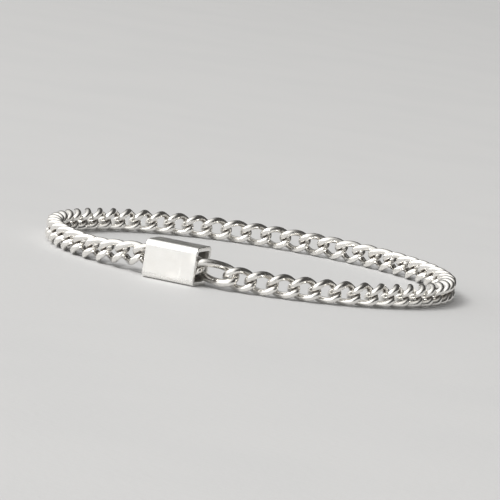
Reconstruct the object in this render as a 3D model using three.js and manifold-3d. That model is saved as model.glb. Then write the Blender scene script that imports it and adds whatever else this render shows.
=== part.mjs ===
// A chain finger ring: a fine curb chain, closed by one oval ring, runs through a square tube bead.
// Millimetres, +Z up. The ring lies on its side, as it rests on a table, with the bead at the front, towards -Y.
// The origin is on the table, under the middle of the object.

import * as THREE from 'three';
import { mergeVertices } from 'three/addons/utils/BufferGeometryUtils.js';
import Module from 'manifold-3d';

const wasm = await Module();
wasm.setup();

// The finger
const INNER_DIAMETER = 17.2; // a ring for a finger of 54 mm round

// The curb chain
const CHAIN_WIRE = 0.29; // diameter of a link's wire
const CHAIN_THICKNESS = 0.8; // from the skin outwards
const LINK_TWIST = 40; // degrees by which each end of a link is turned further about the chain
const LINK_SPACING = 0.95; // wanted from link to link; the real spacing closes the loop with whole links
const LINK_OVERLAP = 0.02; // how far neighbouring links are let into each other where they hook

// The oval closing ring, which joins the chain's two ends at the bead's right-hand mouth
const CLOSING_WIRE = 0.34;
const CLOSING_LENGTH = 2.3; // outside, along the chain
const CLOSING_THICKNESS = 1; // from the skin outwards, because the ring is twisted as the links are
const CLOSING_OUTSIDE = 1.66; // how much of its length stands out of the bead
const HOOK_PLAY = 0.12; // free run between the closing ring and each end link

// The square tube bead
const BEAD_LENGTH = 2.4;
const BEAD_WALL = 0.2;
const BEAD_CORNER_RADIUS = 0.27;
const BORE_CORNER_RADIUS = 0.1;
const BEAD_END_BEVEL = 0.04;

// Clearances
const THREAD_CLEARANCE = 0.07; // each side of a wire in the eye of a link
const BORE_CLEARANCE = 0.12; // above and below the chain in the bead
const CHAIN_FALL_RUN = 3.8; // along the chain, from the bead's left-hand mouth to where the chain lies on the table
const CLOSING_FALL_RUN = 3.4; // the same to the right of the bead, with the closing ring at its middle

// Fineness of the meshes
const WIRE_SIDES = 6;
const LINK_STEPS = 12;
const CLOSING_STEPS = 20;
const CORNER_STEPS = 3;

// A wire with flat sides is drawn a little larger, so that its section has the round wire's area.
const SIDE_ANGLE = (2 * Math.PI) / WIRE_SIDES;
const ROUND_TO_FLAT_SIDED = Math.sqrt(SIDE_ANGLE / Math.sin(SIDE_ANGLE));
const ROUND_TO_FLATS = ROUND_TO_FLAT_SIDED * Math.cos(SIDE_ANGLE / 2);

// Sizes that follow
const chainWidth = 2 * CHAIN_WIRE + Math.max(CHAIN_WIRE, CLOSING_WIRE) + 2 * THREAD_CLEARANCE;
const closingWidth = chainWidth;
const boreSide = chainWidth + 2 * BORE_CLEARANCE;
const beadSide = boreSide + 2 * BEAD_WALL;
const loopRadius = (INNER_DIAMETER + CHAIN_THICKNESS) / 2; // to the middle of the chain
const loopLength = 2 * Math.PI * loopRadius;
const loopCentreY = (beadSide - CHAIN_THICKNESS) / 4; // the bead stands out at the front only
const chainLyingHeight = (chainWidth + CHAIN_WIRE * (ROUND_TO_FLAT_SIDED - 1)) / 2;

// Links hook far enough into each other for the flats of their wires to meet.
const linkBite = CHAIN_WIRE * (1 - ROUND_TO_FLATS) + LINK_OVERLAP;

// What the closing ring takes of the loop, from hook to hook. The links share the rest.
const closingReach = CLOSING_LENGTH - 2 * CLOSING_WIRE - 2 * HOOK_PLAY;
const linkCount = Math.round((loopLength - closingReach + linkBite) / LINK_SPACING);
const linkPitch = (loopLength - closingReach + linkBite) / linkCount;
const linkHalfLength = (linkPitch + CHAIN_WIRE - linkBite) / 2; // to the middle of the wire
const closingCentre = BEAD_LENGTH / 2 + CLOSING_OUTSIDE - CLOSING_LENGTH / 2;
const firstLinkCentre = closingCentre + (closingReach - CHAIN_WIRE) / 2 + linkHalfLength;

// The middle line of a twisted oval link: x along the chain, y up, z away from the finger.
// Where it hooks into the next, the near strands run up to the right, and its two ends stand across each other.
// An end twist turns the wire further there, which draws the oval in towards its ends.
class LinkCurve extends THREE.Curve {
  constructor(halfLength, halfWidth, halfDepth, endTwist) {
    super();
    this.size = new THREE.Vector3(halfLength, halfWidth, halfDepth);
    this.endTwist = THREE.MathUtils.degToRad(endTwist);
  }

  getPoint(t, target = new THREE.Vector3()) {
    const turn = 2 * Math.PI * t;
    const twist = this.endTwist * Math.cos(turn);
    return target.set(Math.cos(turn), Math.sin(turn) * Math.cos(twist), -Math.sin(2 * turn)).multiply(this.size);
  }
}

// One link or ring in its own place, as a closed wire.
function linkGeometry(halfLength, width, thickness, wire, steps, endTwist = 0) {
  const middleLine = new LinkCurve(halfLength, (width - wire) / 2, (thickness - wire) / 2, endTwist);
  return new THREE.TubeGeometry(middleLine, steps, (wire / 2) * ROUND_TO_FLAT_SIDED, WIRE_SIDES, true);
}

// Height of the chain's middle line, at a distance along the loop from the bead's middle. The bead holds the chain off
// the table. On the left the links come down from its mouth, and on the right the closing ring leans down to them.
function chainHeight(along) {
  const lying = along < 0
    ? THREE.MathUtils.smoothstep(-along, BEAD_LENGTH / 2, BEAD_LENGTH / 2 + CHAIN_FALL_RUN)
    : THREE.MathUtils.smoothstep(along, closingCentre - CLOSING_FALL_RUN / 2, closingCentre + CLOSING_FALL_RUN / 2);
  return THREE.MathUtils.lerp(beadSide / 2, chainLyingHeight, lying);
}

// A point on the loop. Distances run from the bead's middle, to the right as seen from the front.
function loopPoint(along) {
  const turn = along / loopRadius;
  const wrapped = along > loopLength / 2 ? along - loopLength : along;
  return new THREE.Vector3(
    loopRadius * Math.sin(turn),
    loopCentreY - loopRadius * Math.cos(turn),
    chainHeight(wrapped),
  );
}

// The matrix that sets a link on the loop: its length along it, its face outwards.
function placeOnLoop(along) {
  const middle = loopPoint(along);
  const run = loopPoint(along + linkPitch / 2).sub(loopPoint(along - linkPitch / 2)).normalize();
  const outwards = new THREE.Vector3().crossVectors(run, new THREE.Vector3(0, 0, 1)).normalize();
  const up = new THREE.Vector3().crossVectors(outwards, run);
  return new THREE.Matrix4().makeBasis(run, up, outwards).setPosition(middle);
}

function solidFrom(geometry) {
  const bare = geometry.index ? geometry.toNonIndexed() : geometry.clone();
  bare.deleteAttribute('normal');
  bare.deleteAttribute('uv');
  const merged = mergeVertices(bare);
  return new wasm.Manifold(new wasm.Mesh({
    numProp: 3,
    vertProperties: merged.attributes.position.array,
    triVerts: new Uint32Array(merged.index.array),
  }));
}

function geometryFrom(solid) {
  const mesh = solid.getMesh();
  const geometry = new THREE.BufferGeometry();
  geometry.setAttribute('position', new THREE.BufferAttribute(new Float32Array(mesh.vertProperties), 3));
  geometry.setIndex(new THREE.BufferAttribute(new Uint32Array(mesh.triVerts), 1));
  geometry.computeVertexNormals();
  return geometry;
}

// All the links, hooked through one another from the closing ring round to the closing ring.
function chainGeometry() {
  const link = linkGeometry(linkHalfLength, chainWidth, CHAIN_THICKNESS, CHAIN_WIRE, LINK_STEPS, LINK_TWIST);
  let chain = null;
  for (let i = 0; i < linkCount; i += 1) {
    const placed = solidFrom(link.clone().applyMatrix4(placeOnLoop(firstLinkCentre + i * linkPitch)));
    chain = chain ? chain.add(placed) : placed;
  }
  return geometryFrom(chain);
}

function closingRingGeometry() {
  const halfLength = (CLOSING_LENGTH - CLOSING_WIRE) / 2;
  return linkGeometry(halfLength, closingWidth, CLOSING_THICKNESS, CLOSING_WIRE, CLOSING_STEPS)
    .applyMatrix4(placeOnLoop(closingCentre));
}

// A square with round corners, drawn round the middle.
function roundedSquare(side, radius, path = new THREE.Shape()) {
  const flat = side / 2 - radius;
  path.moveTo(flat, -side / 2);
  path.absarc(flat, -flat, radius, -Math.PI / 2, 0);
  path.absarc(flat, flat, radius, 0, Math.PI / 2);
  path.absarc(-flat, flat, radius, Math.PI / 2, Math.PI);
  path.absarc(-flat, -flat, radius, Math.PI, 1.5 * Math.PI);
  path.closePath();
  return path;
}

// The tube, lying along X with its middle at the origin.
function beadGeometry() {
  const section = roundedSquare(beadSide, BEAD_CORNER_RADIUS);
  section.holes.push(roundedSquare(boreSide, BORE_CORNER_RADIUS, new THREE.Path()));
  const tube = new THREE.ExtrudeGeometry(section, {
    depth: BEAD_LENGTH - 2 * BEAD_END_BEVEL,
    curveSegments: CORNER_STEPS,
    bevelThickness: BEAD_END_BEVEL,
    bevelSize: BEAD_END_BEVEL,
    bevelOffset: -BEAD_END_BEVEL,
    bevelSegments: 1,
  });
  return tube.translate(0, 0, BEAD_END_BEVEL - BEAD_LENGTH / 2).rotateY(Math.PI / 2);
}

function silver(color, roughness) {
  return new THREE.MeshStandardMaterial({ color, roughness, metalness: 1 });
}

function namedMesh(name, geometry, material) {
  const mesh = new THREE.Mesh(geometry, material);
  mesh.name = name;
  return mesh;
}

const ring = new THREE.Group();
ring.name = 'chain_ring';

ring.add(namedMesh('curb_chain', chainGeometry(), silver(0xd9d7d2, 0.24)));
ring.add(namedMesh('closing_ring', closingRingGeometry(), silver(0xd5d2cc, 0.22)));

const bead = namedMesh('tube_bead', beadGeometry(), silver(0xe2e0dc, 0.2));
bead.position.copy(loopPoint(0));
ring.add(bead);

export default ring;
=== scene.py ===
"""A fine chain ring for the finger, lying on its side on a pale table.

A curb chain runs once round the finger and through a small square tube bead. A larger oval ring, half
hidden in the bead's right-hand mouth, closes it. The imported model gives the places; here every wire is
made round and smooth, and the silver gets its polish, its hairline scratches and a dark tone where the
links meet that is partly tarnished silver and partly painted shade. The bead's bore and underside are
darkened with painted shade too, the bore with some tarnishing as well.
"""

from __future__ import annotations

import logging
import math
from dataclasses import dataclass, replace
from enum import Enum
from typing import Any, Mapping, Sequence, Union

import bpy
import numpy as np
from mathutils import Matrix, Vector

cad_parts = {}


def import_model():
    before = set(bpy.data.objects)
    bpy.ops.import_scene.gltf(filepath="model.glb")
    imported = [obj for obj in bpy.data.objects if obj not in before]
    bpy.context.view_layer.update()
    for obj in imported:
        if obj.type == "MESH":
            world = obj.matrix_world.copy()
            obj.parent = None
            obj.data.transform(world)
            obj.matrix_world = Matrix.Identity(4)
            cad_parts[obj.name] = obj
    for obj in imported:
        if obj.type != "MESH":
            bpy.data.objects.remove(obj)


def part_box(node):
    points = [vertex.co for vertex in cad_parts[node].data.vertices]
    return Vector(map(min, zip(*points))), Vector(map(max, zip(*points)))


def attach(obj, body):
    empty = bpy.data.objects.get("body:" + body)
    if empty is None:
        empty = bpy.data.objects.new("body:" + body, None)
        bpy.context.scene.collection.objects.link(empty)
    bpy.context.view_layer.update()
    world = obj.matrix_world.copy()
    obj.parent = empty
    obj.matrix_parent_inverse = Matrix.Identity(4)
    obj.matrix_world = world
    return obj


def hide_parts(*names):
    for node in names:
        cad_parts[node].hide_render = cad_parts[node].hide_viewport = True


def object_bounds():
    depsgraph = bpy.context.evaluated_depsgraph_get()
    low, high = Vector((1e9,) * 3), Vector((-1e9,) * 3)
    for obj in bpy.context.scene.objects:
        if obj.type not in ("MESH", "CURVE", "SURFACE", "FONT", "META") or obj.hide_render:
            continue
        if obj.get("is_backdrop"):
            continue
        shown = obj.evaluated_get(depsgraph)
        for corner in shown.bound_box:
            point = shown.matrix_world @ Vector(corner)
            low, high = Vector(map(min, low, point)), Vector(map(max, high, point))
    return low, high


LOG = logging.getLogger("chain_ring")

MM = 0.001
ROOT = "root"
NOISE_MIDDLE = 0.5

Colour = tuple[float, float, float, float]
Span = tuple[float, float]
Number = Union["Signal", float]
Source = Union["Signal", bpy.types.NodeSocket, float, Sequence[float]]


class Slot(Enum):
    """Names for the chain's and the bead's silver slots; nothing here uses them."""

    CHAIN = "chain_silver"
    BEAD = "bead_silver"


class Trait(Enum):
    """What a piece's mesh tells its finish about each of its points."""

    SHELTER = "shelter"
    CHANCE = "chance"
    BORE = "bore"
    EDGE = "edge"


def smoothstep(value: np.ndarray | float, low: float, high: float) -> np.ndarray:
    """Rises smoothly from 0 at low to 1 at high."""
    share = np.clip((np.asarray(value, float) - low) / (high - low), 0.0, 1.0)
    return share * share * (3.0 - 2.0 * share)


def full_turn(steps: int) -> np.ndarray:
    """Even angles once round, in radians."""
    return np.arange(steps) * (2.0 * math.pi / steps)


# Shader graphs


@dataclass(frozen=True)
class Grain:
    """A noise's blots: their size in millimetres, the finer layers over them, and how strong those are."""

    size: float
    detail: float = 2.0
    roughness: float = 0.5


class Signal:
    """A shader socket that carries a number and is worked with like one."""

    def __init__(self, graph: Graph, socket: bpy.types.NodeSocket) -> None:
        """Keeps the socket and the graph that it is in."""
        self.graph = graph
        self.socket = socket

    def _math(self, operation: str, *operands: Number) -> Signal:
        """Adds a Math node.

        Args:
            operation: the node's operation.
            operands: its inputs in order.

        Returns:
            The node's result.
        """
        node = self.graph.node("ShaderNodeMath", {"operation": operation}, dict(enumerate(operands)))
        return Signal(self.graph, node.outputs[0])

    def __add__(self, other: Number) -> Signal:
        """self + other."""
        return self._math("ADD", self, other)

    __radd__ = __add__

    def __sub__(self, other: Number) -> Signal:
        """self - other."""
        return self._math("SUBTRACT", self, other)

    def __rsub__(self, other: Number) -> Signal:
        """other - self."""
        return self._math("SUBTRACT", other, self)

    def __mul__(self, other: Number) -> Signal:
        """self * other."""
        return self._math("MULTIPLY", self, other)

    __rmul__ = __mul__

    def within(self, low: float, high: float) -> Signal:
        """Rises smoothly from 0 where the signal is low to 1 where it is high.

        Args:
            low: the value that gives 0.
            high: the value that gives 1, which may be the smaller one.

        Returns:
            The share, from 0 to 1.
        """
        settings = {"interpolation_type": "SMOOTHSTEP"}
        values = {"Value": self, "From Min": low, "From Max": high, "To Min": 0.0, "To Max": 1.0}
        return Signal(self.graph, self.graph.node("ShaderNodeMapRange", settings, values).outputs["Result"])


class Graph:
    """The node tree of one new material or world."""

    MIX_FIRST_COLOUR = 6
    MIX_SECOND_COLOUR = 7
    MIX_COLOUR_RESULT = 2

    def __init__(self, owner: bpy.types.Material | bpy.types.World) -> None:
        """Gives the owner an empty tree.

        Args:
            owner: the material or world.
        """
        self.owner = owner
        owner.use_nodes = True
        self.tree = owner.node_tree
        self.tree.nodes.clear()

    def node(
        self, kind: str, settings: Mapping[str, Any], values: Mapping[str | int, Source]
    ) -> bpy.types.Node:
        """Adds any node.

        Args:
            kind: the node's type.
            settings: its properties, which are set first.
            values: its inputs by name or number, each a value, a socket or a signal.

        Returns:
            The node.
        """
        node = self.tree.nodes.new(kind)
        for name, setting in settings.items():
            setattr(node, name, setting)
        for name, value in values.items():
            source = value.socket if isinstance(value, Signal) else value
            if isinstance(source, bpy.types.NodeSocket):
                self.tree.links.new(source, node.inputs[name])
            else:
                node.inputs[name].default_value = source
        return node

    def trait(self, trait: Trait) -> Signal:
        """What the mesh says of its points."""
        settings = {"attribute_type": "GEOMETRY", "attribute_name": trait.value}
        return Signal(self, self.node("ShaderNodeAttribute", settings, {}).outputs["Fac"])

    def place(
        self, stretch: Sequence[float] = (1.0, 1.0, 1.0), turn: Sequence[float] = (0.0, 0.0, 0.0)
    ) -> bpy.types.NodeSocket:
        """The place on the object, counted in millimetres.

        Args:
            stretch: how many times longer a pattern gets along X, Y and Z of the turned frame.
            turn: the pattern's rotation, in degrees.

        Returns:
            The socket with the place.
        """
        coordinates = self.node("ShaderNodeTexCoord", {}, {}).outputs["Object"]
        scale = [MM * share for share in stretch]
        rotation = [math.radians(angle) for angle in turn]
        values = {"Vector": coordinates, "Rotation": rotation, "Scale": scale}
        return self.node("ShaderNodeMapping", {"vector_type": "TEXTURE"}, values).outputs["Vector"]

    def noise(self, place: bpy.types.NodeSocket, grain: Grain) -> Signal:
        """Smooth noise from 0 to 1.

        Args:
            place: the socket with the place in millimetres.
            grain: its blots.

        Returns:
            The noise.
        """
        values = {"Vector": place, "Scale": 1.0 / grain.size}
        values |= {"Detail": grain.detail, "Roughness": grain.roughness}
        node = self.node("ShaderNodeTexNoise", {"noise_dimensions": "3D"}, values)
        return Signal(self, node.outputs["Fac"])

    def blend(self, first: Source, second: Source, share: Number) -> bpy.types.NodeSocket:
        """Goes from the first colour to the second.

        Args:
            first: the colour where the share is 0.
            second: the colour where the share is 1.
            share: what lies between them.

        Returns:
            The socket with the colour.
        """
        values = {"Factor": share, self.MIX_FIRST_COLOUR: first, self.MIX_SECOND_COLOUR: second}
        return self.node("ShaderNodeMix", {"data_type": "RGBA"}, values).outputs[self.MIX_COLOUR_RESULT]

    def surface(self, values: Mapping[str, Source], height: Signal) -> bpy.types.Material:
        """Ends the tree with a Principled shader.

        Args:
            values: the shader's inputs.
            height: the relief in millimetres.

        Returns:
            The material.
        """
        relief = self.node("ShaderNodeBump", {}, {"Strength": 1.0, "Distance": MM, "Height": height})
        inputs = {**values, "Normal": relief.outputs["Normal"]}
        shader = self.node("ShaderNodeBsdfPrincipled", {}, inputs)
        self.node("ShaderNodeOutputMaterial", {}, {"Surface": shader.outputs[0]})
        return self.owner


# Finishes


@dataclass(frozen=True)
class HairScratches:
    """One family of fine scratches that run about the same way. Lengths are in millimetres."""

    turn: tuple[float, float, float]
    length: float
    width: float
    rarity: float
    softness: float = 0.07
    pattern: Grain = Grain(size=1.0, detail=1.0)

    def signal(self, graph: Graph) -> Signal:
        """Where the scratches are, from 0 to 1."""
        place = graph.place((self.length, self.width, self.length), self.turn)
        return graph.noise(place, self.pattern).within(self.rarity, self.rarity + self.softness)


@dataclass(frozen=True)
class Silver:
    """What both silvers share: colours, polish, scratches, dimples, and the dark tone of tarnishing and
    painted shade. Lengths in millimetres.
    """

    name: str
    bright: Colour
    dull: Colour
    # The dark colour of tarnished silver, also used for painted shade.
    tarnish_and_shade_colour: Colour
    polish: float
    dullness: float
    tarnish_roughness: float
    worn_roughening: float
    scratches: tuple[HairScratches, ...]
    scratch_roughening: float
    scratch_depth: float
    dimples: Grain
    dimple_depth: float
    tarnish_and_shade_darkening: float
    tarnish_and_shade_metal_loss: float

    def marks(self, graph: Graph) -> Signal:
        """All the families of scratches together.

        Args:
            graph: the finish's node tree.

        Returns:
            Where the scratches are.
        """
        marks = self.scratches[0].signal(graph)
        for family in self.scratches[1:]:
            marks = marks + family.signal(graph)
        return marks

    def relief(self, graph: Graph, place: bpy.types.NodeSocket, marks: Signal) -> Signal:
        """The height of the dimples and the scratches, in millimetres."""
        return graph.noise(place, self.dimples) * self.dimple_depth - marks * self.scratch_depth

    def colour(self, graph: Graph, dulled: Signal, tarnish_and_shade: Signal) -> bpy.types.NodeSocket:
        """The silver's colour, from bright to dull, with tarnishing and painted shade darkening it."""
        metal = graph.blend(self.bright, self.dull, dulled)
        return graph.blend(metal, self.tarnish_and_shade_colour, tarnish_and_shade * self.tarnish_and_shade_darkening)

    def roughness(self, worn: Signal, marks: Signal, tarnish_and_shade: Signal) -> Signal:
        """How matt the silver is.

        Args:
            worn: where the polish is worn.
            marks: where the scratches are.
            tarnish_and_shade: where the silver is tarnished, and where shade is painted.

        Returns:
            The shader's roughness.
        """
        roughness = self.polish + worn * (self.dullness - self.polish) * self.worn_roughening
        roughness = roughness + marks * self.scratch_roughening
        return roughness + tarnish_and_shade * (self.tarnish_roughness - self.polish)


@dataclass(frozen=True)
class WireSilver(Silver):
    """Drawn silver wire, tumbled bright, with tarnishing and painted shade darkening it where the links
    meet.
    """

    name: str = "polished_silver_wire"
    bright: Colour = (0.93, 0.915, 0.885, 1.0)
    dull: Colour = (0.78, 0.755, 0.715, 1.0)
    tarnish_and_shade_colour: Colour = (0.2, 0.175, 0.15, 1.0)
    polish: float = 0.13
    dullness: float = 0.3
    tarnish_roughness: float = 0.5
    worn_roughening: float = 0.45
    scratches: tuple[HairScratches, ...] = (
        HairScratches(turn=(0.0, 0.0, 35.0), length=0.9, width=0.035, rarity=0.63),
        HairScratches(turn=(70.0, 20.0, 0.0), length=0.7, width=0.03, rarity=0.64),
    )
    scratch_roughening: float = 0.12
    scratch_depth: float = 0.0012
    blots: Grain = Grain(size=0.55, detail=3.0)
    specks: Grain = Grain(size=0.09, detail=2.0, roughness=0.6)
    dimples: Grain = Grain(size=0.32, detail=1.0)
    dimple_depth: float = 0.006
    pit_span: Span = (0.36, 0.24)
    pit_depth: float = 0.0025
    worn_span: Span = (0.42, 0.66)
    worn_dulling: float = 0.3
    chance_dulling: float = 0.22
    tarnish_and_shade_base: float = 0.75
    tarnish_and_shade_specks: float = 0.5
    tarnish_and_shade_blots: float = 0.35
    tarnish_and_shade_span: Span = (0.35, 0.95)
    tarnish_and_shade_darkening: float = 0.85
    tarnish_and_shade_metal_loss: float = 0.35

    def material(self) -> bpy.types.Material:
        """Makes the finish.

        Returns:
            The material.
        """
        graph = Graph(bpy.data.materials.new(self.name))
        place = graph.place()
        blots = graph.noise(place, self.blots)
        specks = graph.noise(place, self.specks)
        shelter = graph.trait(Trait.SHELTER)
        worn = blots.within(*self.worn_span)
        dulled = worn * self.worn_dulling + graph.trait(Trait.CHANCE) * self.chance_dulling
        # Painted shade: darkens the wire where it comes close to other links, standing in for the shadow
        # between them, mixed with real tarnishing there.
        tarnish_and_shade = shelter * (self.tarnish_and_shade_base + self.tarnish_and_shade_specks * specks)
        tarnish_and_shade = (tarnish_and_shade + (blots - NOISE_MIDDLE) * self.tarnish_and_shade_blots * shelter).within(*self.tarnish_and_shade_span)
        marks = self.marks(graph)
        values = {
            "Base Color": self.colour(graph, dulled, tarnish_and_shade),
            "Metallic": 1.0 - tarnish_and_shade * self.tarnish_and_shade_metal_loss,
            "Roughness": self.roughness(worn, marks, tarnish_and_shade),
        }
        pits = specks.within(*self.pit_span) * self.pit_depth
        return graph.surface(values, self.relief(graph, place, marks) - pits)


@dataclass(frozen=True)
class TubeSilver(Silver):
    """Square-drawn silver tube: satin flats with fine scratches, brighter edges, a bore darkened with
    tarnishing and painted shade, and painted shade along its underside.
    """

    name: str = "polished_silver_tube"
    bright: Colour = (0.95, 0.94, 0.915, 1.0)
    dull: Colour = (0.84, 0.825, 0.79, 1.0)
    tarnish_and_shade_colour: Colour = (0.24, 0.21, 0.18, 1.0)
    polish: float = 0.3
    dullness: float = 0.4
    tarnish_roughness: float = 0.48
    worn_roughening: float = 0.35
    scratches: tuple[HairScratches, ...] = (
        HairScratches(turn=(0.0, 0.0, 0.0), length=1.6, width=0.022, rarity=0.6),
        HairScratches(turn=(0.0, 28.0, 12.0), length=0.9, width=0.03, rarity=0.64),
        HairScratches(turn=(0.0, -50.0, 75.0), length=0.6, width=0.028, rarity=0.65),
    )
    scratch_roughening: float = 0.14
    scratch_depth: float = 0.0014
    blots: Grain = Grain(size=0.5, detail=3.0)
    specks: Grain = Grain(size=0.08, detail=2.0, roughness=0.6)
    dimples: Grain = Grain(size=0.6, detail=1.0)
    dimple_depth: float = 0.006
    worn_span: Span = (0.4, 0.64)
    worn_dulling: float = 0.3
    edge_polish: float = 0.04
    bore_tarnish_and_shade: float = 0.8
    underside_shade_weight: float = 0.7
    tarnish_and_shade_specks: float = 0.5
    tarnish_and_shade_span: Span = (0.35, 0.95)
    tarnish_and_shade_darkening: float = 0.8
    tarnish_and_shade_metal_loss: float = 0.3

    def material(self) -> bpy.types.Material:
        """Makes the finish.

        Returns:
            The material.
        """
        graph = Graph(bpy.data.materials.new(self.name))
        place = graph.place()
        specks = graph.noise(place, self.specks)
        edge = graph.trait(Trait.EDGE)
        worn = graph.noise(place, self.blots).within(*self.worn_span) * (1.0 - edge)
        # Painted shade: darkens the bore and the underside next to the table, with some tarnishing in the
        # bore.
        tarnish_and_shade = graph.trait(Trait.BORE) * self.bore_tarnish_and_shade + graph.trait(Trait.SHELTER) * self.underside_shade_weight
        tarnish_and_shade = (tarnish_and_shade + (specks - NOISE_MIDDLE) * self.tarnish_and_shade_specks).within(*self.tarnish_and_shade_span)
        marks = self.marks(graph)
        values = {
            "Base Color": self.colour(graph, worn * self.worn_dulling, tarnish_and_shade),
            "Metallic": 1.0 - tarnish_and_shade * self.tarnish_and_shade_metal_loss,
            "Roughness": self.roughness(worn, marks, tarnish_and_shade) - edge * self.edge_polish,
        }
        return graph.surface(values, self.relief(graph, place, marks))


@dataclass(frozen=True)
class TablePaper:
    """The pale, matt table top. Lengths are in millimetres."""

    name: str = "pale_table"
    light: Colour = (0.53, 0.53, 0.533, 1.0)
    shade: Colour = (0.52, 0.521, 0.525, 1.0)
    clouds: Grain = Grain(size=9.0, detail=3.0)
    cloud_span: Span = (0.35, 0.7)
    tooth: Grain = Grain(size=0.4, detail=3.0, roughness=0.6)
    tooth_depth: float = 0.012
    roughness: float = 0.75
    shine: float = 0.25

    def material(self) -> bpy.types.Material:
        """Makes the finish.

        Returns:
            The material.
        """
        graph = Graph(bpy.data.materials.new(self.name))
        place = graph.place()
        cloudy = graph.noise(place, self.clouds).within(*self.cloud_span)
        colour = graph.blend(self.light, self.shade, cloudy)
        values = {"Base Color": colour, "Roughness": self.roughness, "Specular IOR Level": self.shine}
        return graph.surface(values, graph.noise(place, self.tooth) * self.tooth_depth)


# Meshes


def mesh_object(
    name: str,
    points: np.ndarray,
    faces: np.ndarray,
    traits: Mapping[Trait, np.ndarray],
    material: bpy.types.Material,
) -> bpy.types.Object:
    """Makes one smooth mesh piece.

    Args:
        name: the piece's name.
        points: its points in millimetres.
        faces: its four-sided faces.
        traits: what it tells its finish of each point.
        material: its finish.

    Returns:
        The object.
    """
    mesh = bpy.data.meshes.new(name)
    mesh.from_pydata((points * MM).tolist(), [], faces.tolist())
    for trait, values in traits.items():
        layer = mesh.attributes.new(trait.value, "FLOAT", "POINT")
        layer.data.foreach_set("value", np.asarray(values, np.float32))
    mesh.polygons.foreach_set("use_smooth", np.ones(len(mesh.polygons), bool))
    mesh.materials.append(material)
    mesh.validate()
    mesh.update()
    piece = bpy.data.objects.new(name, mesh)
    bpy.context.scene.collection.objects.link(piece)
    return piece


def ring_faces(rows: int, columns: int) -> np.ndarray:
    """The faces of a mesh whose rows and columns both close on themselves.

    Args:
        rows: how many rows of points there are.
        columns: how many points a row has.

    Returns:
        Four point numbers for each face.
    """
    row, column = np.meshgrid(np.arange(rows), np.arange(columns), indexing="ij")
    next_row, next_column = (row + 1) % rows, (column + 1) % columns
    corners = (row * columns + column, next_row * columns + column)
    corners += (next_row * columns + next_column, row * columns + next_column)
    return np.stack(corners, axis=-1).reshape(-1, 4)


@dataclass(frozen=True)
class WireOval:
    """A closed, twisted oval of wire, in millimetres: x along the chain, y up, z away from the finger."""

    half_length: float
    half_width: float
    half_depth: float
    wire: float
    end_twist: float = 0.0
    sides: int = 20
    step: float = 0.001

    def centre(self, turns: np.ndarray) -> np.ndarray:
        """The wire's middle line.

        Args:
            turns: how far round the oval, in radians.

        Returns:
            A point for each.
        """
        size = (self.half_length, self.half_width, self.half_depth)
        twist = math.radians(self.end_twist) * np.cos(turns)
        shape = (np.cos(turns), np.sin(turns) * np.cos(twist), -np.sin(2.0 * turns))
        return np.stack(shape, axis=-1) * size

    def skin(self, turns: np.ndarray, swell: np.ndarray) -> np.ndarray:
        """The wire's surface.

        Args:
            turns: where its sections are, in radians.
            swell: each section's radius, as a share of the wire's.

        Returns:
            The points, a row for each section.
        """
        middle = self.centre(turns)
        run = self.centre(turns + self.step) - self.centre(turns - self.step)
        run /= np.linalg.norm(run, axis=1, keepdims=True)
        away = middle - run * np.sum(middle * run, axis=1, keepdims=True)
        away /= np.linalg.norm(away, axis=1, keepdims=True)
        across = np.cross(run, away)
        angle = full_turn(self.sides)[:, None]
        out = away[:, None] * np.cos(angle) + across[:, None] * np.sin(angle)
        return middle[:, None] + out * (self.wire / 2.0) * swell[:, None, None]


def shelter_from(points: np.ndarray, lines: Sequence[np.ndarray], wire: float, reach: float) -> np.ndarray:
    """How closely points lie to other wires.

    Args:
        points: the points in millimetres.
        lines: points along the middle of each other wire.
        wire: the other wires' diameter.
        reach: the gap from which nothing is sheltered.

    Returns:
        From 0 in the open to 1 where the wires meet.
    """
    nearest = np.full(len(points), np.inf)
    for line in lines:
        gaps = np.linalg.norm(points[:, None] - line[None], axis=2).min(axis=1)
        nearest = np.minimum(nearest, gaps)
    return 1.0 - smoothstep(nearest - wire / 2.0, 0.0, reach)


# The ring's sizes and its loop


@dataclass(frozen=True)
class RingSizes:
    """The ring's driving sizes in millimetres, and what follows from them."""

    inner_diameter: float = 17.2
    chain_wire: float = 0.29
    chain_thickness: float = 0.8
    link_end_twist: float = 40.0
    link_spacing: float = 0.95
    closing_wire: float = 0.34
    closing_length: float = 2.3
    closing_thickness: float = 1.0
    closing_outside: float = 1.66
    hook_play: float = 0.12
    bead_wall: float = 0.2
    bead_corner_radius: float = 0.27
    bore_corner_radius: float = 0.1
    thread_clearance: float = 0.07
    chain_fall_run: float = 3.8
    closing_fall_run: float = 3.4
    lying_gap: float = 0.015

    @property
    def chain_width(self) -> float:
        """The width of a link, and of the closing ring."""
        thickest = max(self.chain_wire, self.closing_wire)
        return 2.0 * self.chain_wire + thickest + 2.0 * self.thread_clearance

    @property
    def closing_reach(self) -> float:
        """What the closing ring takes of the loop, from hook to hook."""
        return self.closing_length - 2.0 * self.closing_wire - 2.0 * self.hook_play

    @property
    def loop_radius(self) -> float:
        """From the finger's axis to the middle of the chain."""
        return (self.inner_diameter + self.chain_thickness) / 2.0

    @property
    def loop_length(self) -> float:
        """Once round the loop."""
        return 2.0 * math.pi * self.loop_radius


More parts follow.
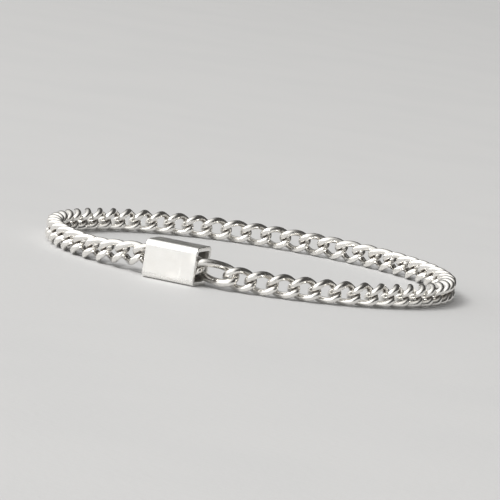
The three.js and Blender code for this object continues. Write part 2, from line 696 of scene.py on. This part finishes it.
@dataclass(frozen=True)
class Loop:
    """The path of the chain. Distances run from the bead's middle, to the right as seen from the front.

    The bead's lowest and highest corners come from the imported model, in millimetres.
    """

    sizes: RingSizes
    bead_low: np.ndarray
    bead_high: np.ndarray

    @property
    def bead_middle(self) -> np.ndarray:
        """The middle of the bead."""
        return (self.bead_low + self.bead_high) / 2.0

    @property
    def bead_length(self) -> float:
        """The length of the bead."""
        return float(self.bead_high[0] - self.bead_low[0])

    @property
    def bead_side(self) -> float:
        """The side of the bead's square."""
        return float(self.bead_high[2] - self.bead_low[2])

    @property
    def closing_centre(self) -> float:
        """The distance of the closing ring's middle."""
        return self.bead_length / 2.0 + self.sizes.closing_outside - self.sizes.closing_length / 2.0

    def height(self, along: float) -> float:
        """The height of the chain's middle line.

        Left of the bead the links come down gently. Right of it the closing ring leans down to the chain.

        Args:
            along: the distance from the bead's middle, up to half the loop either way.

        Returns:
            The height.
        """
        if along < 0.0:
            mouth = self.bead_length / 2.0
            lying = smoothstep(-along, mouth, mouth + self.sizes.chain_fall_run)
        else:
            half_run = self.sizes.closing_fall_run / 2.0
            lying = smoothstep(along, self.closing_centre - half_run, self.closing_centre + half_run)
        low = self.sizes.chain_width / 2.0 + self.sizes.lying_gap
        return float(self.bead_middle[2] + (low - self.bead_middle[2]) * lying)

    def point(self, along: float) -> np.ndarray:
        """A point of the chain's middle line.

        Args:
            along: its distance from the bead's middle.

        Returns:
            The point.
        """
        radius = self.sizes.loop_radius
        turn = along / radius
        wrapped = along - self.sizes.loop_length if along > self.sizes.loop_length / 2.0 else along
        centre_y = self.bead_middle[1] + radius
        return np.array((radius * math.sin(turn), centre_y - radius * math.cos(turn), self.height(wrapped)))

    def seat(self, along: float, step: float) -> tuple[np.ndarray, np.ndarray]:
        """Where a link sits, and how it is turned.

        Args:
            along: the distance of its middle.
            step: the length over which it follows the path.

        Returns:
            Its middle, and a matrix whose columns run along the chain, up and away from the finger.
        """
        run = self.point(along + step / 2.0) - self.point(along - step / 2.0)
        run /= np.linalg.norm(run)
        away = np.cross(run, (0.0, 0.0, 1.0))
        away /= np.linalg.norm(away)
        return self.point(along), np.stack((run, np.cross(away, run), away), axis=1)


# The ring's pieces


@dataclass
class CurbChain:
    """The curb chain: whole links, hooked through one another from the closing ring to the closing ring."""

    loop: Loop
    sections: int = 56
    touch: float = 0.004
    flattening: float = 0.04
    flattened_rest: float = 0.3
    roll_play: float = 1.6
    sway_play: float = 0.9
    unevenness: float = 0.012
    waves_round: tuple[float, float] = (2.0, 5.0)
    shelter_reach: float = 0.2
    seed: int = 11

    def __post_init__(self) -> None:
        """Works out how many links close the loop, and their size."""
        sizes = self.loop.sizes
        share = sizes.loop_length - sizes.closing_reach
        self.count = round(share / sizes.link_spacing)
        self.pitch = share / self.count
        self.link = WireOval(
            half_length=(self.pitch + sizes.chain_wire - self.touch) / 2.0,
            half_width=(sizes.chain_width - sizes.chain_wire) / 2.0,
            half_depth=(sizes.chain_thickness - sizes.chain_wire) / 2.0,
            wire=sizes.chain_wire,
            end_twist=sizes.link_end_twist,
        )
        hook = self.loop.closing_centre + sizes.closing_reach / 2.0
        self.first = hook - sizes.chain_wire / 2.0 + self.link.half_length

    def seats(self) -> list[tuple[np.ndarray, np.ndarray]]:
        """Where each link sits, with the little roll and sway that loose links have.

        Returns:
            For each link its middle and its turn.
        """
        dice = np.random.default_rng(self.seed)
        seats = []
        for number in range(self.count):
            middle, turn = self.loop.seat(self.first + number * self.pitch, self.pitch)
            roll = Matrix.Rotation(math.radians(dice.uniform(-self.roll_play, self.roll_play)), 3, "X")
            sway = Matrix.Rotation(math.radians(dice.uniform(-self.sway_play, self.sway_play)), 3, "Y")
            seats.append((middle, turn @ np.array(roll @ sway)))
        return seats

    def lines(self) -> list[np.ndarray]:
        """The middle line of each link's wire."""
        shape = self.link.centre(full_turn(self.sections))
        return [middle + shape @ turn.T for middle, turn in self.seats()]

    def flattened(self, points: np.ndarray) -> np.ndarray:
        """Rolls a link's two faces a little flatter, as the chain's rollers leave them.

        Args:
            points: the link's points in its own frame.

        Returns:
            The same points, pressed in.
        """
        limit = self.loop.sizes.chain_thickness / 2.0 - self.flattening
        depth = np.abs(points[..., 2])
        pressed = np.where(depth > limit, limit + (depth - limit) * self.flattened_rest, depth)
        result = points.copy()
        result[..., 2] = np.sign(points[..., 2]) * pressed
        return result

    def build(self, other_lines: Sequence[np.ndarray], finish: bpy.types.Material) -> bpy.types.Object:
        """Makes the whole chain as one mesh.

        Args:
            other_lines: the middle lines of the closing ring's wire.
            finish: the chain's silver.

        Returns:
            The piece.
        """
        dice = np.random.default_rng(self.seed + 1)
        turns = full_turn(self.sections)
        lines = self.lines()
        faces = ring_faces(self.sections, self.link.sides)
        points, shelter, chance, all_faces = [], [], [], []
        for number, (middle, turn) in enumerate(self.seats()):
            phases = dice.uniform(0.0, 2.0 * math.pi, 2)
            waves = sum(np.sin(times * turns + phase) for times, phase in zip(self.waves_round, phases))
            skin = self.link.skin(turns, 1.0 + self.unevenness * waves)
            own = middle + self.flattened(skin).reshape(-1, 3) @ turn.T
            near = [lines[i] for i in (number - 1, number + 1) if 0 <= i < self.count]
            if number in (0, self.count - 1):
                near.extend(other_lines)
            points.append(own)
            # Nearness to the neighbouring links; the silver paints shade and tarnishing there.
            shelter.append(shelter_from(own, near, self.link.wire, self.shelter_reach))
            chance.append(np.full(len(own), dice.uniform()))
            all_faces.append(faces + number * len(own))
        traits = {Trait.SHELTER: np.concatenate(shelter), Trait.CHANCE: np.concatenate(chance)}
        all_points = np.concatenate(points)
        piece = mesh_object("curb_chain_links", all_points, np.concatenate(all_faces), traits, finish)
        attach(piece, ROOT)
        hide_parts("curb_chain")
        return piece


@dataclass
class ClosingRing:
    """The larger oval ring that joins the chain's ends, with its soldered cut."""

    loop: Loop
    seat_step: float
    wire_sides: int = 28
    sections: int = 150
    seam_sections: int = 14
    seam_turn: float = 4.1
    seam_width: float = 0.05
    seam_sharpness: float = 3.0
    seam_depth: float = 0.035
    seam_tarnish: float = 0.8
    chance: float = 0.3
    shelter_reach: float = 0.2

    def __post_init__(self) -> None:
        """Works out its oval and its seat."""
        sizes = self.loop.sizes
        self.oval = WireOval(
            half_length=(sizes.closing_length - sizes.closing_wire) / 2.0,
            half_width=(sizes.chain_width - sizes.closing_wire) / 2.0,
            half_depth=(sizes.closing_thickness - sizes.closing_wire) / 2.0,
            wire=sizes.closing_wire,
            sides=self.wire_sides,
        )
        self.middle, self.turn = self.loop.seat(self.loop.closing_centre, self.seat_step)

    def line(self) -> np.ndarray:
        """The middle line of its wire."""
        return self.middle + self.oval.centre(full_turn(self.sections)) @ self.turn.T

    def build(self, other_lines: Sequence[np.ndarray], finish: bpy.types.Material) -> bpy.types.Object:
        """Makes the closing ring.

        Args:
            other_lines: the middle lines of the two links that hook into it.
            finish: its silver.

        Returns:
            The piece.
        """
        extra = self.seam_turn + np.linspace(-self.seam_width, self.seam_width, self.seam_sections)
        turns = np.unique(np.concatenate((full_turn(self.sections), extra)))
        groove = np.exp(-(((turns - self.seam_turn) / (self.seam_width / self.seam_sharpness)) ** 2))
        skin = self.oval.skin(turns, 1.0 - self.seam_depth * groove)
        points = self.middle + skin.reshape(-1, 3) @ self.turn.T
        # Nearness to the hooked links, which the silver darkens with painted shade and tarnishing; the
        # seam's groove adds real tarnishing.
        shelter = shelter_from(points, other_lines, self.loop.sizes.chain_wire, self.shelter_reach)
        seam = np.repeat(groove, self.oval.sides) * self.seam_tarnish
        traits = {Trait.SHELTER: np.maximum(shelter, seam), Trait.CHANCE: np.full(len(points), self.chance)}
        faces = ring_faces(len(turns), self.oval.sides)
        piece = mesh_object("closing_ring_wire", points, faces, traits, finish)
        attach(piece, ROOT)
        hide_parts("closing_ring")
        return piece


@dataclass(frozen=True)
class Station:
    """A section of the tube, in millimetres: its place along it, its side and its corners' radius."""

    place: float
    side: float
    radius: float


@dataclass
class TubeBead:
    """The square tube bead, with softened edges and mouths and the slight unevenness of hand polishing."""

    loop: Loop
    corner_steps: int = 10
    flat_steps: int = 12
    length_steps: int = 26
    mouth_rounding: float = 0.035
    mouth_steps: int = 5
    support: float = 0.02
    unevenness: float = 0.0015
    ripple_along: tuple[float, float] = (3.1, -1.9)
    ripple_across: tuple[float, float] = (2.3, 2.7)
    ripple_shift: float = 0.8
    bore_reach: float = 0.25
    edge_roundings: float = 3.0
    underside_shade_reach: float = 0.12

    def __post_init__(self) -> None:
        """Takes its size from the loop."""
        self.side = self.loop.bead_side
        self.bore = self.side - 2.0 * self.loop.sizes.bead_wall
        self.end = self.loop.bead_length / 2.0

    def section(self, station: Station) -> np.ndarray:
        """A square with round corners, drawn round the middle, anticlockwise.

        Args:
            station: the section's place and size.

        Returns:
            Its points. Every section has as many.
        """
        half, radius = station.side / 2.0, station.radius
        flat = half - radius
        arc = np.linspace(0.0, math.pi / 2.0, self.corner_steps + 1)
        inner = np.linspace(-flat + self.support, flat - self.support, self.flat_steps)
        edge = np.stack((np.full_like(inner, half), inner), axis=1)
        corner = np.stack((flat + radius * np.cos(arc), flat + radius * np.sin(arc)), axis=1)
        quarter_turn = np.array(((0.0, 1.0), (-1.0, 0.0)))
        sides = [np.concatenate((edge, corner))]
        for _ in range(3):
            sides.append(sides[-1] @ quarter_turn)
        return np.concatenate(sides)

    def stations(self) -> list[Station]:
        """The sections: out along the outside, in through a mouth, back along the bore and out again.

        Returns:
            The sections in order.
        """
        soft = self.mouth_rounding
        outer, inner = self.loop.sizes.bead_corner_radius, self.loop.sizes.bore_corner_radius
        angles = np.linspace(0.0, math.pi / 2.0, self.mouth_steps + 1)
        places = [self.end - soft + soft * math.sin(angle) for angle in angles]
        insets = [soft * (1.0 - math.cos(angle)) for angle in angles]
        rounding = list(zip(places, insets))
        reach = self.end - soft - self.support
        straight = [float(place) for place in np.linspace(-reach, reach, self.length_steps)]
        outside = [Station(place, self.side, outer) for place in straight]
        mouth = [Station(place, self.side - 2.0 * inset, outer - inset) for place, inset in rounding]
        mouth += [Station(place, self.bore + 2.0 * inset, inner + inset) for place, inset in rounding[::-1]]
        inside = [Station(place, self.bore, inner) for place in straight[::-1]]
        other_mouth = [replace(station, place=-station.place) for station in mouth[::-1]]
        return outside + mouth + inside + other_mouth

    def hand_polished(self, outline: np.ndarray, place: float) -> np.ndarray:
        """Presses the flats of an outside section in, a little and unevenly.

        Args:
            outline: the section's points.
            place: its place along the tube.

        Returns:
            The points, pressed in.
        """
        half = self.side / 2.0
        flatness = smoothstep(half - np.abs(outline).min(axis=1), self.support, half / 2.0)
        first = np.sin(self.ripple_along[0] * place + self.ripple_across[0] * outline[:, 0])
        shift = self.ripple_along[1] * place + self.ripple_shift
        second = np.sin(self.ripple_across[1] * outline[:, 1] + shift)
        depth = self.unevenness * flatness * (1.0 + first * second)
        return outline * (1.0 - depth / np.linalg.norm(outline, axis=1))[:, None]

    def bore_depth(self, station: Station) -> float:
        """How deep in the bore a section lies.

        Args:
            station: the section's place and size.

        Returns:
            From 0 outside and at the mouths to 1 well inside.
        """
        if station.side > self.bore + 2.0 * self.mouth_rounding:
            return 0.0
        return float(smoothstep(self.end - abs(station.place), 0.0, self.bore_reach))

    def edges(self, outline: np.ndarray, station: Station) -> np.ndarray:
        """Where the corners and the mouths' rims are, which wear keeps bright.

        Args:
            outline: the section's points.
            station: its place and size.

        Returns:
            From 0 on a flat to 1 on an edge.
        """
        half, radius = station.side / 2.0, station.radius
        corner = smoothstep(np.abs(outline).min(axis=1), half - 2.0 * radius, half - radius / 2.0)
        rim = smoothstep(abs(station.place), self.end - self.edge_roundings * self.mouth_rounding, self.end)
        return np.maximum(corner, rim)

    def build(self, finish: bpy.types.Material) -> bpy.types.Object:
        """Makes the bead.

        Args:
            finish: its silver.

        Returns:
            The piece.
        """
        stations = self.stations()
        rows, bore, edge = [], [], []
        for station in stations:
            outline = self.section(station)
            if station.side >= self.side:
                outline = self.hand_polished(outline, station.place)
            depth = self.bore_depth(station)
            rows.append(np.column_stack((np.full(len(outline), station.place), outline)))
            bore.append(np.full(len(outline), depth))
            edge.append(self.edges(outline, station) if depth == 0.0 else np.zeros(len(outline)))
        points = np.concatenate(rows) + self.loop.bead_middle
        # Painted shade along the bead's underside, where it lies near the table.
        underside_shade = 1.0 - smoothstep(points[:, 2], 0.0, self.underside_shade_reach)
        traits = {Trait.BORE: np.concatenate(bore), Trait.EDGE: np.concatenate(edge), Trait.SHELTER: underside_shade}
        faces = ring_faces(len(stations), len(rows[0]))
        piece = mesh_object("tube_bead_shell", points, faces, traits, finish)
        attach(piece, ROOT)
        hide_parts("tube_bead")
        return piece


# The table, the light and the camera


def direction(azimuth: float, elevation: float) -> Vector:
    """The way from the object to a viewer. Azimuth 0 is in front, towards -Y, and grows to the right."""
    turn, rise = math.radians(azimuth), math.radians(elevation)
    return Vector((math.sin(turn) * math.cos(rise), -math.cos(turn) * math.cos(rise), math.sin(rise)))


@dataclass(frozen=True)
class SoftBox:
    """A square studio light. Lengths are in metres."""

    name: str
    azimuth: float
    elevation: float
    distance: float
    side: float
    radiance: float
    colour: tuple[float, float, float]

    def build(self, target: Vector) -> None:
        """Hangs the light.

        Args:
            target: the point that it faces.
        """
        data = bpy.data.lights.new(self.name, "AREA")
        data.shape = "SQUARE"
        data.size = self.side
        data.energy = self.radiance * math.pi * self.side**2
        data.color = self.colour
        light = bpy.data.objects.new(self.name, data)
        towards = direction(self.azimuth, self.elevation)
        light.location = target + towards * self.distance
        light.rotation_euler = towards.to_track_quat("Z", "Y").to_euler()
        light.visible_camera = False
        bpy.context.scene.collection.objects.link(light)


@dataclass(frozen=True)
class Room:
    """The room round the table: light towards the window side, dim on the other."""

    dim: Colour = (0.075, 0.073, 0.07, 1.0)
    light: Colour = (1.42, 1.41, 1.38, 1.0)
    window_side: tuple[float, float, float] = (-0.65, -0.65, 0.38)
    light_span: Span = (-0.22, 0.7)

    def build(self) -> None:
        """Gives the scene its surroundings."""
        world = bpy.data.worlds.new("room")
        graph = Graph(world)
        way = graph.node("ShaderNodeTexCoord", {}, {}).outputs["Generated"]
        values = {0: way, 1: self.window_side}
        towards = graph.node("ShaderNodeVectorMath", {"operation": "DOT_PRODUCT"}, values)
        share = Signal(graph, towards.outputs["Value"]).within(*self.light_span)
        colour = graph.blend(self.dim, self.light, share)
        background = graph.node("ShaderNodeBackground", {}, {"Color": colour, "Strength": 1.0})
        graph.node("ShaderNodeOutputWorld", {}, {"Surface": background.outputs[0]})
        bpy.context.scene.world = world


@dataclass(frozen=True)
class Studio:
    """A pale table top under soft light that comes mainly from the left. Lengths are in metres."""

    table_side: float = 4.0
    room: Room = Room()
    window_box: SoftBox = SoftBox(
        name="window_box",
        azimuth=-32.0,
        elevation=45.0,
        distance=1.0,
        side=0.36,
        radiance=17.0,
        colour=(1.0, 0.99, 0.97),
    )

    def build(self, target: Vector, paper: bpy.types.Material) -> None:
        """Sets the table, the light and the room's light.

        Args:
            target: the point that the light faces.
            paper: the table's finish.
        """
        half = self.table_side / 2.0
        corners = [(-half, -half, 0.0), (half, -half, 0.0), (half, half, 0.0), (-half, half, 0.0)]
        mesh = bpy.data.meshes.new("table_top")
        mesh.from_pydata(corners, [], [(0, 1, 2, 3)])
        mesh.materials.append(paper)
        table = bpy.data.objects.new("table_top", mesh)
        bpy.context.scene.collection.objects.link(table)
        table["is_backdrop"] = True
        self.window_box.build(target)
        self.room.build()
        bpy.context.scene.view_settings.view_transform = "Standard"
        LOG.info("studio: table %.0f m square, window box %.2f m", self.table_side, self.window_box.side)


@dataclass(frozen=True)
class PhotoCamera:
    """A camera at the photograph's angle to the ring, near enough to fill the frame with it.

    Angles are in degrees, the distance is in metres and the sensor's width in millimetres.
    """

    azimuth: float = 20.4
    elevation: float = 6.8
    roll: float = 8.8
    distance: float = 0.18
    fill: float = 0.83
    sensor: float = 36.0

    def build(self, low: Vector, high: Vector) -> None:
        """Sets up the camera.

        Args:
            low: the object's lowest corner.
            high: its highest corner.
        """
        data = bpy.data.cameras.new("photo_camera")
        data.sensor_width = self.sensor
        data.lens = self.sensor * self.distance * self.fill / (high.x - low.x)
        data.clip_start = MM
        camera = bpy.data.objects.new("photo_camera", data)
        towards = direction(self.azimuth, self.elevation)
        upright = towards.to_track_quat("Z", "Y").to_matrix()
        turn = upright @ Matrix.Rotation(math.radians(self.roll), 3, "Z")
        place = Matrix.Translation((low + high) / 2.0 + towards * self.distance)
        camera.matrix_world = place @ turn.to_4x4()
        bpy.context.scene.collection.objects.link(camera)
        bpy.context.scene.camera = camera
        LOG.info("camera: %.0f mm lens at %.0f mm", data.lens, self.distance / MM)


def main() -> None:
    """Builds the ring, its table, the light and the camera."""
    logging.basicConfig(level=logging.INFO, format="%(name)s: %(message)s")
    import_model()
    model_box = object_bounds()
    low, high = model_box
    PhotoCamera().build(low, high)

    bead_low, bead_high = (np.array(corner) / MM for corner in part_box("tube_bead"))
    loop = Loop(RingSizes(), bead_low, bead_high)
    wire_silver = WireSilver().material()
    chain = CurbChain(loop)
    closing = ClosingRing(loop, chain.pitch)
    LOG.info("loop: %d links, %.3f mm from link to link", chain.count, chain.pitch)
    links = chain.lines()
    pieces = (
        chain.build([closing.line()], wire_silver),
        closing.build([links[0], links[-1]], wire_silver),
        TubeBead(loop).build(TubeSilver().material()),
    )
    for piece in pieces:
        LOG.info("%s: %d faces", piece.name, len(piece.data.polygons))

    Studio().build((low + high) / 2.0, TablePaper().material())


if __name__ == "__main__":
    main()
